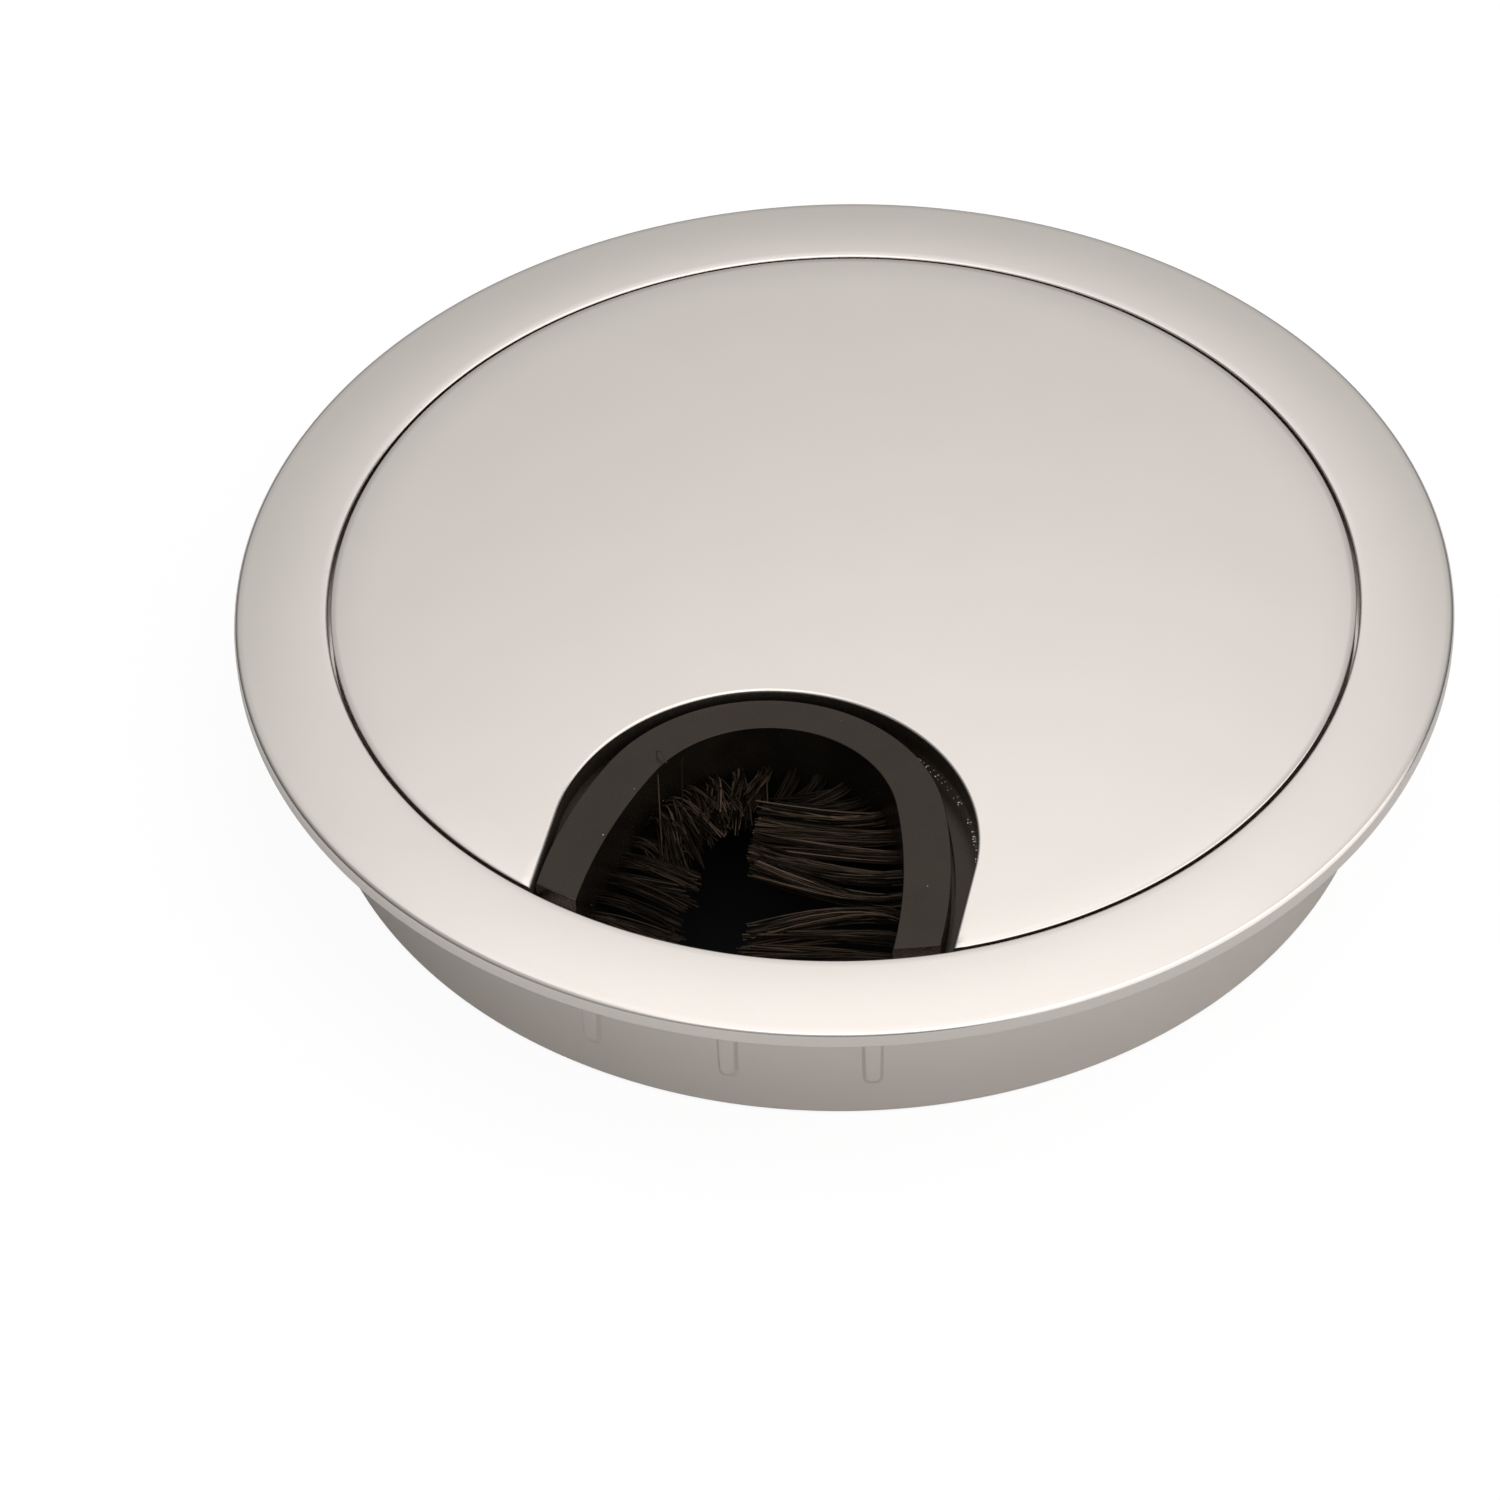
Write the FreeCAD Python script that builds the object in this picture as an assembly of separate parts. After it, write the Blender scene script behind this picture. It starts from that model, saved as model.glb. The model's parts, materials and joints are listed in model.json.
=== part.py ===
import FreeCAD, Part
import math
import os

# Desk grommet with a brush outlet for an 80 mm hole.
# Z points up, the origin lies on the axis at the foot of the tube, and the outlet faces -Y.
# All sizes are in millimetres.

# base ring
hole_diameter = 80.0             # hole in the desk that the tube goes into
tube_play = 0.1                  # radial play of the tube in that hole
flange_overlap = 5.0             # how far the flange lies on the desk round the hole
flange_thickness = 1.4
tube_length = 12.5
tube_wall = 1.8                  # wall of the tube where the lid seats
flange_edge_break = 0.35
tube_foot_chamfer = 0.4

# seat of the lid in the ring
lid_edge_thickness = 2.2
lid_play = 0.13
ledge_width = 1.0
ledge_height = 1.6

# crush ribs that wedge the tube in its hole
rib_groups = 3
ribs_in_group = 3
rib_spacing_angle = 14.6
rib_width = 1.4
rib_length = 9.4
rib_height_top = 0.2
rib_height_foot = 0.1

# lid
plate_thickness = 1.8
lid_edge_break = 0.2
skirt_play = 0.4                 # between the skirt and the ledge of the ring
skirt_thickness = 1.5
skirt_depth = 4.2                # from the top of the lid
cutout_radius = 15.0
cutout_centre = 27.0             # distance of the round end's centre from the axis
lip_width = 3.4
lip_depth = 2.6                  # from the top of the lid
collar_play = 0.05               # least gap that the cut-out leaves round the collar

# brush holder, a U of three arcs whose arms run out to the edge of the lid
arch_joint_angle = 70.0          # from the apex to where the top arc meets a side arc
collar_apex = 12.45              # distance of the collar's apex from the axis
collar_top_radius = 13.0
collar_side_radius = 37.0
mouth_apex = 15.3
mouth_top_radius = 9.4
mouth_side_radius = 40.8
collar_drop = 0.6                # how far the collar lies below the top of the lid
holder_shift = -0.45             # the holder sits against one side of its play
holder_end_play = 0.3            # between the ends of the arms and the ledge
holder_depth = 7.5               # foot of the holder, from the top of the lid
holder_flange_width = 5.0
holder_flange_thickness = 1.5
flange_room = 0.6                # between the flange and the skirt of the lid
holder_edge_break = 0.15

# cast pegs of the lid that carry the holder
peg_radius = 1.1
peg_play = 0.1
peg_reach = 17.0                 # from the centre of the cut-out's round end
peg_arm_angle = 10.0             # how far an arm's peg lies past that centre
peg_head_radius = 1.5
peg_head_height = 0.7

# bristle tufts
tufts_on_a_side = 11             # besides the one at the apex
tuft_pitch = 2.05
tuft_depth = 5.0                 # middle of the tufts, from the top of the lid
tuft_root_radius = 0.65
tuft_sides = 8
tuft_hole_play = 0.05
tuft_hole_depth = 1.9
slot_width = 4.4                 # free width between the ends of facing tufts
arch_aim = 0.5                   # the tufts of the arch aim this far short of its centre
arch_tip_radius = 4.3            # how near they come to that point
arm_tip_size = 1.6
arch_tip_size = 0.8

# sizes that follow
tube_radius = hole_diameter / 2 - tube_play
flange_radius = hole_diameter / 2 + flange_overlap
top = tube_length + flange_thickness
seat_radius = tube_radius - tube_wall
ledge_radius = seat_radius - ledge_width
ledge_top = top - lid_edge_thickness
lid_radius = seat_radius - lid_play
skirt_radius = ledge_radius - skirt_play
holder_end_radius = ledge_radius - holder_end_play
lip_foot = top - lip_depth
collar_top = top - collar_drop
holder_foot = top - holder_depth
tuft_level = top - tuft_depth
far = 2 * flange_radius          # longer than anything that it cuts

UP = FreeCAD.Vector(0, 0, 1)


def ring_of_revolution(profile):
    """A solid turned about Z from (radius, height) points."""
    points = [FreeCAD.Vector(r, 0, z) for r, z in profile]
    wire = Part.makePolygon(points + points[:1])
    return Part.Face(wire).revolve(FreeCAD.Vector(), UP, 360)


def break_edges(shape, size, wanted):
    """Chamfers the edges that pass the test."""
    edges = [edge for edge in shape.Edges if wanted(edge)]
    return shape.makeChamfer(size, edges)


def lies_at(edge, height):
    box = edge.BoundBox
    return abs(box.ZMin - height) < 1e-4 and abs(box.ZMax - height) < 1e-4


def arch_arcs(apex, top_radius, side_radius, end):
    """The three arcs of an arch that opens towards -Y, from its right end to its left end."""
    joint = math.radians(arch_joint_angle)
    top_y = -(apex + top_radius)
    side_x = (side_radius - top_radius) * math.sin(joint)
    side_y = top_y - (side_radius - top_radius) * math.cos(joint)
    end_angle = math.asin((-end - side_y) / side_radius)
    joint_side = math.pi / 2 - joint

    def on_top(angle):
        return FreeCAD.Vector(top_radius * math.sin(angle), top_y + top_radius * math.cos(angle), 0)

    def on_side(angle, hand):
        x = side_radius * math.cos(angle) - side_x
        return FreeCAD.Vector(hand * x, side_y + side_radius * math.sin(angle), 0)

    middle = (end_angle + joint_side) / 2
    right = Part.Arc(on_side(end_angle, 1), on_side(middle, 1), on_top(joint))
    crown = Part.Arc(on_top(joint), on_top(0), on_top(-joint))
    left = Part.Arc(on_top(-joint), on_side(middle, -1), on_side(end_angle, -1))
    return [right.toShape(), crown.toShape(), left.toShape()]


def arch_prism(apex, top_radius, side_radius, low, high):
    """The arch as a solid between two heights, open past the edge of the lid."""
    arcs = arch_arcs(apex, top_radius, side_radius, seat_radius)
    start = arcs[0].Vertexes[0].Point
    finish = arcs[-1].Vertexes[-1].Point
    if start.x < finish.x:
        start, finish = finish, start
    closing = Part.makeLine(finish, start)
    face = Part.Face(Part.Wire(Part.__sortEdges__(arcs + [closing])))
    face.translate(FreeCAD.Vector(holder_shift, 0, low))
    return face.extrude(FreeCAD.Vector(0, 0, high - low))


def holder_arch(widening, low, high):
    """The outline of the collar, made wider all round, between two heights."""
    return arch_prism(
        collar_apex - widening, collar_top_radius + widening, collar_side_radius + widening,
        low, high,
    )


def crush_rib(angle):
    """One rib on the tube, tapered towards its rounded foot."""
    half = rib_width / 2
    head = tube_length
    foot = tube_length - rib_length
    corner_right = FreeCAD.Vector(half, 0, foot + rib_width)
    corner_left = FreeCAD.Vector(-half, 0, foot + rib_width)
    outline = [
        Part.makeLine(FreeCAD.Vector(-half, 0, head), FreeCAD.Vector(half, 0, head)),
        Part.makeLine(FreeCAD.Vector(half, 0, head), corner_right),
        Part.Arc(corner_right, FreeCAD.Vector(0, 0, foot), corner_left).toShape(),
        Part.makeLine(corner_left, FreeCAD.Vector(-half, 0, head)),
    ]
    blade = Part.Face(Part.Wire(outline)).extrude(FreeCAD.Vector(0, -flange_radius, 0))
    inside = tube_radius - tube_wall / 2
    slope = Part.makePolygon([
        FreeCAD.Vector(-rib_width, -inside, foot),
        FreeCAD.Vector(-rib_width, -tube_radius - rib_height_foot, foot),
        FreeCAD.Vector(-rib_width, -tube_radius - rib_height_top, head),
        FreeCAD.Vector(-rib_width, -inside, head),
        FreeCAD.Vector(-rib_width, -inside, foot),
    ])
    rib = blade.common(Part.Face(slope).extrude(FreeCAD.Vector(2 * rib_width, 0, 0)))
    rib.rotate(FreeCAD.Vector(), UP, angle)
    return rib


def rib_angles():
    """Angles of all ribs about Z, the first group at the outlet."""
    middle = (ribs_in_group - 1) / 2
    for group in range(rib_groups):
        for rib in range(ribs_in_group):
            yield group * 360 / rib_groups + (rib - middle) * rib_spacing_angle


def base_ring():
    """Flange and tube, with the ledge that carries the lid."""
    ring = ring_of_revolution([
        (seat_radius, 0),
        (tube_radius - tube_foot_chamfer, 0),
        (tube_radius, tube_foot_chamfer),
        (tube_radius, tube_length),
        (flange_radius, tube_length),
        (flange_radius, top - flange_edge_break),
        (flange_radius - flange_edge_break, top),
        (seat_radius, top),
        (seat_radius, ledge_top),
        (ledge_radius, ledge_top),
        (ledge_radius, ledge_top - ledge_height),
        (seat_radius, ledge_top - ledge_height),
    ])
    for angle in rib_angles():
        ring = ring.fuse(crush_rib(angle))
    return ring.removeSplitter()


def cutout_prism(widening, low, high):
    """The cut-out of the lid, made wider all round, between two heights."""
    radius = cutout_radius + widening
    place = FreeCAD.Vector(0, -cutout_centre, low)
    round_end = Part.makeCylinder(radius, high - low, place)
    corner = FreeCAD.Vector(-radius, -far, low)
    arms = Part.makeBox(2 * radius, far - cutout_centre, high - low, corner)
    return round_end.fuse(arms).removeSplitter()


def peg_places():
    """Pegs at the apex and on both arms of the cut-out."""
    for angle in (90.0, -peg_arm_angle, 180.0 + peg_arm_angle):
        turn = math.radians(angle)
        x = peg_reach * math.cos(turn)
        y = -cutout_centre + peg_reach * math.sin(turn)
        yield FreeCAD.Vector(x, y, 0)


def peg(place):
    """A cast peg with its head formed over the holder's flange."""
    flange_foot = lip_foot - holder_flange_thickness
    shank = Part.makeCylinder(peg_radius, lip_foot - flange_foot + lip_depth / 2,
                              place + UP * flange_foot)
    dome = ring_of_revolution([
        (0, flange_foot),
        (peg_head_radius, flange_foot),
        (peg_head_radius * 0.75, flange_foot - peg_head_height * 0.75),
        (peg_head_radius * 0.4, flange_foot - peg_head_height),
        (0, flange_foot - peg_head_height),
    ])
    dome.translate(place)
    return shank.fuse(dome)


def lid():
    """Plate with the U cut-out, a skirt inside the ledge, a lip and the pegs."""
    skirt_foot = top - skirt_depth
    body = ring_of_revolution([
        (0, top - plate_thickness),
        (skirt_radius - skirt_thickness, top - plate_thickness),
        (skirt_radius - skirt_thickness, skirt_foot),
        (skirt_radius, skirt_foot),
        (skirt_radius, ledge_top),
        (lid_radius, ledge_top),
        (lid_radius, top),
        (0, top),
    ])
    lip = cutout_prism(lip_width, lip_foot, top - plate_thickness / 2)
    lip = lip.common(Part.makeCylinder(skirt_radius, far))
    room = holder_arch(holder_flange_width + flange_room, 0, lip_foot)
    body = body.cut(room).fuse(lip)
    body = body.cut(cutout_prism(0, 0, far)).removeSplitter()
    body = break_edges(body, lid_edge_break, lambda e: lies_at(e, top))
    body = body.cut(holder_arch(collar_play, 0, far))
    for place in peg_places():
        body = body.fuse(peg(place))
    return body.removeSplitter()


def tuft_stations():
    """Root point and direction of every tuft, from the right arm round to the left arm."""
    arcs = arch_arcs(mouth_apex, mouth_top_radius, mouth_side_radius, seat_radius)
    right, crown, left = arcs
    centre_y = -(mouth_apex + mouth_top_radius)
    for count in range(-tufts_on_a_side, tufts_on_a_side + 1):
        along = abs(count) * tuft_pitch
        hand = 1 if count < 0 else -1
        half_crown = crown.Length / 2
        if along <= half_crown:
            turn = along / mouth_top_radius
            x = mouth_top_radius * math.sin(turn)
            y = centre_y + mouth_top_radius * math.cos(turn)
        else:
            joint = math.radians(arch_joint_angle)
            turn = math.pi / 2 - joint - (along - half_crown) / mouth_side_radius
            spread = mouth_side_radius - mouth_top_radius
            x = mouth_side_radius * math.cos(turn) - spread * math.sin(joint)
            y = centre_y - spread * math.cos(joint) + mouth_side_radius * math.sin(turn)
        root = FreeCAD.Vector(hand * x, y, 0)
        on_arm = y < centre_y
        target = FreeCAD.Vector(0, y if on_arm else centre_y + arch_aim, 0)
        way = (target - root).normalize()
        free = x - slot_width / 2 if on_arm else (target - root).Length - arch_tip_radius
        place = root + FreeCAD.Vector(holder_shift, 0, tuft_level)
        yield place, way, free, on_arm


def brush_holder(stations):
    """U of black plastic: a raised collar, a flange under the lid and the bored brush wall."""
    wall = holder_arch(0, holder_foot, collar_top)
    flange = holder_arch(holder_flange_width, lip_foot - holder_flange_thickness, lip_foot)
    holder = wall.fuse(flange)
    mouth = arch_prism(mouth_apex, mouth_top_radius, mouth_side_radius, 0, far)
    holder = holder.cut(mouth).common(Part.makeCylinder(holder_end_radius, far))
    holder = break_edges(holder, holder_edge_break, lambda e: lies_at(e, collar_top))
    for place in peg_places():
        bore = Part.makeCylinder(peg_radius + peg_play, far, place)
        head_room = Part.makeCylinder(peg_head_radius + peg_play, lip_foot - holder_flange_thickness,
                                      place)
        holder = holder.cut(bore).cut(head_room)
    for place, way, free, on_arm in stations:
        hole = Part.makeCylinder(
            tuft_root_radius + tuft_hole_play, 2 * tuft_hole_depth,
            place - way * tuft_hole_depth, way,
        )
        holder = holder.cut(hole)
    return holder


def tuft_corners(place, way, size):
    """Corners of an outline with flat sides across a tuft, size wide and high."""
    side = way.cross(UP)
    half_side = math.pi / tuft_sides
    reach = size / 2 / math.cos(half_side)
    for count in range(tuft_sides):
        turn = (2 * count + 1) * half_side
        yield place + side * (reach * math.cos(turn)) + UP * (reach * math.sin(turn))


def flat_face(corners):
    return Part.Face(Part.makePolygon(corners + corners[:1]))


def bristle_tuft(place, way, free, on_arm):
    """A bundle of bristles from its hole to its blunt end, fanned out where there is room."""
    root_size = 2 * tuft_root_radius * math.cos(math.pi / tuft_sides)
    tip_size = arm_tip_size if on_arm else arch_tip_size
    inner = list(tuft_corners(place - way * tuft_hole_depth, way, root_size))
    mouth = list(tuft_corners(place, way, root_size))
    tip = list(tuft_corners(place + way * free, way, tip_size))
    faces = [flat_face(inner), flat_face(tip)]
    for near, away in ((inner, mouth), (mouth, tip)):
        for this in range(tuft_sides):
            other = (this + 1) % tuft_sides
            faces.append(flat_face([near[this], near[other], away[other], away[this]]))
    shell = Part.Shell(faces)
    shell.sewShape()
    tuft = Part.Solid(shell)
    if tuft.Volume < 0:
        tuft.reverse()
    return tuft


def check_arcs(stations):
    """Prints how many tufts there are and the shortest one."""
    shortest = min(free for place, way, free, on_arm in stations)
    print("tufts", len(stations), "shortest free length %.2f" % shortest)


def export(name, shape):
    solids = shape.Solids
    assert shape.isValid() and len(solids) == 1, name
    solids[0].exportStep("parts/" + name + ".step")
    print(name, "%.1f mm3" % solids[0].Volume)


os.makedirs("parts", exist_ok=True)
stations = list(tuft_stations())
check_arcs(stations)
export("base_ring", base_ring())
export("lid", lid())
export("brush_holder", brush_holder(stations))
for number, station in enumerate(stations, 1):
    export("bristle_tuft_%02d" % number, bristle_tuft(*station))
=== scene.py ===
import json
import math
import random

import bmesh
import bpy
from mathutils import Matrix, Vector


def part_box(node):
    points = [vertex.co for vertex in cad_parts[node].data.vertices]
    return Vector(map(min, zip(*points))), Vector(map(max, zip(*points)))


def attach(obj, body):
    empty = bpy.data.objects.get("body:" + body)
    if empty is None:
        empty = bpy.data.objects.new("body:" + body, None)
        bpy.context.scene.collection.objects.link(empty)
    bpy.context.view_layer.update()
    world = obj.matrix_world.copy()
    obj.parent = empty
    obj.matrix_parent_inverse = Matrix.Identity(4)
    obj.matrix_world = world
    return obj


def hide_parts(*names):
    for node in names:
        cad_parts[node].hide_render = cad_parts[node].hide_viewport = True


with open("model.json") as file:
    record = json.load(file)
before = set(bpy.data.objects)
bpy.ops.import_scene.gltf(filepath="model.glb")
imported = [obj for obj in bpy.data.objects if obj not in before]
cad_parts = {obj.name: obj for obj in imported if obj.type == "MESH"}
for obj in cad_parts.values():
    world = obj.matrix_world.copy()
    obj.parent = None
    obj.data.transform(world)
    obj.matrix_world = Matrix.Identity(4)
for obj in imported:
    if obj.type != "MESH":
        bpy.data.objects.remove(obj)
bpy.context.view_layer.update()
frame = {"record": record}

mm = 0.001
UP = Vector((0, 0, 1))


# Camera. It looks down at the grommet from the front and a little from the right,
# through a long lens, so the rim keeps nearly the same width all round.
camera_place = Vector((58.63, -265.26, 265.17)) * mm
camera_azimuth = math.radians(14.0)
camera_tilt = math.radians(44.66)
camera_roll = math.radians(-2.19)
camera_lens = 119.98

camera = bpy.data.objects.new("camera", bpy.data.cameras.new("camera"))
camera.data.lens = camera_lens
camera.matrix_world = (
    Matrix.Translation(camera_place)
    @ Matrix.Rotation(camera_azimuth, 4, "Z")
    @ Matrix.Rotation(math.pi / 2 - camera_tilt, 4, "X")
    @ Matrix.Rotation(camera_roll, 4, "Z")
)
bpy.context.scene.collection.objects.link(camera)
bpy.context.scene.camera = camera


# Base ring. A zinc casting, plated in satin nickel: the flange that lies on the desk,
# the tube that goes into the desk's hole, a ledge inside it that carries the lid,
# and crush ribs on the tube that wedge it in its hole.
mounts = {mount["name"]: mount for mount in frame["record"]["mounts"]}
ring_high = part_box("base_ring")[1]
top = ring_high.z
flange_radius = ring_high.x
flange_foot = mounts["flange_underside"]["pos_m"][2]
tube_radius = mounts["tube"]["dims"]["r_mm"] * mm
seat_radius = tube_radius - 1.8 * mm
ledge_radius = seat_radius - 1.0 * mm
ledge_top = top - 2.2 * mm
ledge_foot = ledge_top - 1.6 * mm
ring_steps = 240
rim_steps = 10
rim_round = 0.35 * mm
rim_crest = 40.6 * mm
rim_crown = 105.0 * mm
rib_width = 1.7 * mm
rib_foot_width = 1.42 * mm
rib_length = 9.4 * mm
rib_height = 0.42 * mm
rib_slope = 0.24 * mm
rib_foot_slope = 0.66 * mm
rib_sunk = 0.5 * mm
rib_corner_round = 0.42 * mm
rib_face_round = 0.1 * mm
rib_face_angle = 0.5
rib_pitch = 14.6
rib_angles = [group * 120 + rib * rib_pitch for group in range(3) for rib in (-1, 0, 1)]
same_place = 0.001 * mm
close_by = 0.01 * mm
corner_angle = 1
smooth_angle = math.radians(42)


def satin_nickel():
    """Plated zinc with a satin face: warm grey, with very fine grain and nicks along the seam."""
    material, place, grain, _ = grained_material(
        "satin_nickel", size=0.12, dark=(0.845, 0.785, 0.735), light=(0.875, 0.815, 0.765),
        smooth=0.18, rough=0.25)
    shader = material.node_tree.nodes["Principled BSDF"]
    shader.inputs["Metallic"].default_value = 1.0
    nicks = specks(material, place.outputs["Object"], Radius=seat_radius, Width=0.28 * mm,
                   Cell=0.5 * mm, Speck=0.14 * mm, Share=0.14)
    bump = raised(material, grain.outputs["Grain"], 0.12, 0.01 * mm)
    dents = raised(material, nicks.outputs["Near"], 0.6, 0.05 * mm)
    material.node_tree.links.new(bump.outputs["Normal"], dents.inputs["Normal"])
    return material


def grained_material(name, size, dark, light, smooth, rough, toned_by="Cloud"):
    """A material whose tone and gloss vary with a grain, and the nodes that others use."""
    material = bpy.data.materials.new(name)
    material.use_nodes = True
    nodes, links = material.node_tree.nodes, material.node_tree.links
    shader = nodes["Principled BSDF"]
    place = nodes.new("ShaderNodeTexCoord")
    grain = nodes.new("ShaderNodeGroup")
    grain.node_tree = fine_grain()
    grain.inputs["Size"].default_value = size
    links.new(place.outputs["Object"], grain.inputs["Place"])
    tone = nodes.new("ShaderNodeMix")
    tone.data_type = "RGBA"
    tone.inputs["A"].default_value = (*dark, 1)
    tone.inputs["B"].default_value = (*light, 1)
    links.new(grain.outputs[toned_by], tone.inputs["Factor"])
    links.new(tone.outputs["Result"], shader.inputs["Base Color"])
    gloss = nodes.new("ShaderNodeMapRange")
    gloss.inputs["To Min"].default_value = smooth
    gloss.inputs["To Max"].default_value = rough
    links.new(grain.outputs["Grain"], gloss.inputs["Value"])
    links.new(gloss.outputs["Result"], shader.inputs["Roughness"])
    return material, place, grain, tone


def raised(material, height, strength, distance):
    """A bump on a material's face."""
    nodes, links = material.node_tree.nodes, material.node_tree.links
    bump = nodes.new("ShaderNodeBump")
    bump.inputs["Strength"].default_value = strength
    bump.inputs["Distance"].default_value = distance
    links.new(height, bump.inputs["Height"])
    links.new(bump.outputs["Normal"], nodes["Principled BSDF"].inputs["Normal"])
    return bump


def specks(material, place, **values):
    """Specks in a material, with a value for each input of their node group."""
    node = material.node_tree.nodes.new("ShaderNodeGroup")
    node.node_tree = specks_by_circle()
    for name, value in values.items():
        node.inputs[name].default_value = value
    material.node_tree.links.new(place, node.inputs["Place"])
    return node


def fine_grain():
    """Node group: a grain of about Size millimetres and a cloud fifty times as coarse."""
    if "fine_grain" in bpy.data.node_groups:
        return bpy.data.node_groups["fine_grain"]
    group = bpy.data.node_groups.new("fine_grain", "ShaderNodeTree")
    group.interface.new_socket("Place", in_out="INPUT", socket_type="NodeSocketVector")
    group.interface.new_socket("Size", in_out="INPUT", socket_type="NodeSocketFloat")
    group.interface.new_socket("Grain", in_out="OUTPUT", socket_type="NodeSocketFloat")
    group.interface.new_socket("Cloud", in_out="OUTPUT", socket_type="NodeSocketFloat")
    nodes, links = group.nodes, group.links
    given = nodes.new("NodeGroupInput")
    result = nodes.new("NodeGroupOutput")
    scale = nodes.new("ShaderNodeMath")
    scale.operation = "DIVIDE"
    scale.inputs[0].default_value = 1 / mm
    links.new(given.outputs["Size"], scale.inputs[1])
    coarse = nodes.new("ShaderNodeMath")
    coarse.operation = "DIVIDE"
    coarse.inputs[1].default_value = 50
    links.new(scale.outputs[0], coarse.inputs[0])
    for output, size, detail in (("Grain", scale, 2), ("Cloud", coarse, 3)):
        noise = nodes.new("ShaderNodeTexNoise")
        noise.inputs["Detail"].default_value = detail
        links.new(given.outputs["Place"], noise.inputs["Vector"])
        links.new(size.outputs[0], noise.inputs["Scale"])
        links.new(noise.outputs["Fac"], result.inputs[output])
    return group


def specks_by_circle():
    """Node group: specks in cells of the size Cell, all over (Anywhere) and by a circle (Near)."""
    if "specks_by_circle" in bpy.data.node_groups:
        return bpy.data.node_groups["specks_by_circle"]
    group = bpy.data.node_groups.new("specks_by_circle", "ShaderNodeTree")
    group.interface.new_socket("Place", in_out="INPUT", socket_type="NodeSocketVector")
    for name in ("Radius", "Width", "Cell", "Speck", "Share"):
        group.interface.new_socket(name, in_out="INPUT", socket_type="NodeSocketFloat")
    for name in ("Anywhere", "Near"):
        group.interface.new_socket(name, in_out="OUTPUT", socket_type="NodeSocketFloat")
    nodes, links = group.nodes, group.links
    given = nodes.new("NodeGroupInput").outputs
    result = nodes.new("NodeGroupOutput").inputs

    def work_out(operation, *values):
        node = nodes.new("ShaderNodeMath")
        node.operation = operation
        for socket, value in zip(node.inputs, values):
            links.new(value, socket)
        return node.outputs[0]

    cells = nodes.new("ShaderNodeTexVoronoi")
    scale = nodes.new("ShaderNodeMath")
    scale.operation = "DIVIDE"
    scale.inputs[0].default_value = 1
    links.new(given["Cell"], scale.inputs[1])
    links.new(scale.outputs[0], cells.inputs["Scale"])
    links.new(given["Place"], cells.inputs["Vector"])
    chosen = nodes.new("ShaderNodeSeparateColor")
    links.new(cells.outputs["Color"], chosen.inputs[0])
    inside = work_out("LESS_THAN", work_out("MULTIPLY", cells.outputs["Distance"], given["Cell"]),
                      given["Speck"])
    speck = work_out("MULTIPLY", inside, work_out("LESS_THAN", chosen.outputs[0], given["Share"]))
    links.new(speck, result["Anywhere"])
    parts = nodes.new("ShaderNodeSeparateXYZ")
    links.new(given["Place"], parts.inputs[0])
    flat = nodes.new("ShaderNodeCombineXYZ")
    links.new(parts.outputs[0], flat.inputs[0])
    links.new(parts.outputs[1], flat.inputs[1])
    reach = nodes.new("ShaderNodeVectorMath")
    reach.operation = "LENGTH"
    links.new(flat.outputs[0], reach.inputs[0])
    near = work_out("COMPARE", reach.outputs["Value"], given["Radius"], given["Width"])
    links.new(work_out("MULTIPLY", speck, near), result["Near"])
    return group


def circle_edges(bm, radius, height):
    """The edges that lie on one circle about the axis."""
    def lies_on(vertex):
        return (abs(vertex.co.xy.length - radius) < close_by
                and abs(vertex.co.z - height) < close_by)
    return [edge for edge in bm.edges if all(lies_on(vertex) for vertex in edge.verts)]


def soften(bm, edges, size, segments=3):
    """Rounds edges and gives what that makes."""
    return bmesh.ops.bevel(bm, geom=edges, offset=size, offset_type="OFFSET",
                           segments=segments, profile=0.5, affect="EDGES", material=-1)


def put_in_scene(bm, name, material):
    """Makes a smooth-shaded object of a bmesh, on the part's one body."""
    mesh = bpy.data.meshes.new(name)
    bm.to_mesh(mesh)
    bm.free()
    mesh.materials.append(material)
    mesh.shade_smooth()
    mesh.set_sharp_from_angle(angle=smooth_angle)
    piece = bpy.data.objects.new(name, mesh)
    bpy.context.scene.collection.objects.link(piece)
    flat_faces = piece.modifiers.new("flat_faces", "WEIGHTED_NORMAL")
    flat_faces.keep_sharp = True
    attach(piece, "root")
    return piece


def add_crush_rib(bm, angle):
    """One rib with sloping sides and a rounded, sloping foot."""
    foot = flange_foot - rib_length
    cube = bmesh.ops.create_cube(bm, size=2)["verts"]
    for vertex in cube:
        x, y, z = vertex.co
        depth = -rib_height if y < 0 else rib_sunk
        spread = rib_slope * depth / rib_height
        drop = rib_foot_slope * depth / rib_height
        width = rib_width if z > 0 else rib_foot_width
        vertex.co = (x * (width / 2 + spread), depth - tube_radius,
                     flange_foot if z > 0 else foot - drop)
    low = [v for v in cube if v.co.z < flange_foot - rib_length / 2]
    corners = [e for e in dict.fromkeys(e for v in low for e in v.link_edges)
               if e.verts[0] in low and e.verts[1] in low
               and abs(e.verts[0].co.y - e.verts[1].co.y) > rib_height]
    rounded = soften(bm, corners, rib_corner_round, 6)["verts"]
    verts = dict.fromkeys([v for v in cube if v.is_valid] + rounded)
    face_edges = [e for e in dict.fromkeys(e for v in verts for e in v.link_edges)
                  if all(v.co.y < -tube_radius for v in e.verts)
                  and e.calc_face_angle(0) > rib_face_angle]
    softened = soften(bm, face_edges, rib_face_round, 2)["verts"]
    verts = dict.fromkeys([v for v in verts if v.is_valid] + softened)
    bmesh.ops.rotate(bm, verts=list(verts), cent=(0, 0, 0),
                     matrix=Matrix.Rotation(math.radians(angle), 3, "Z"))


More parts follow.
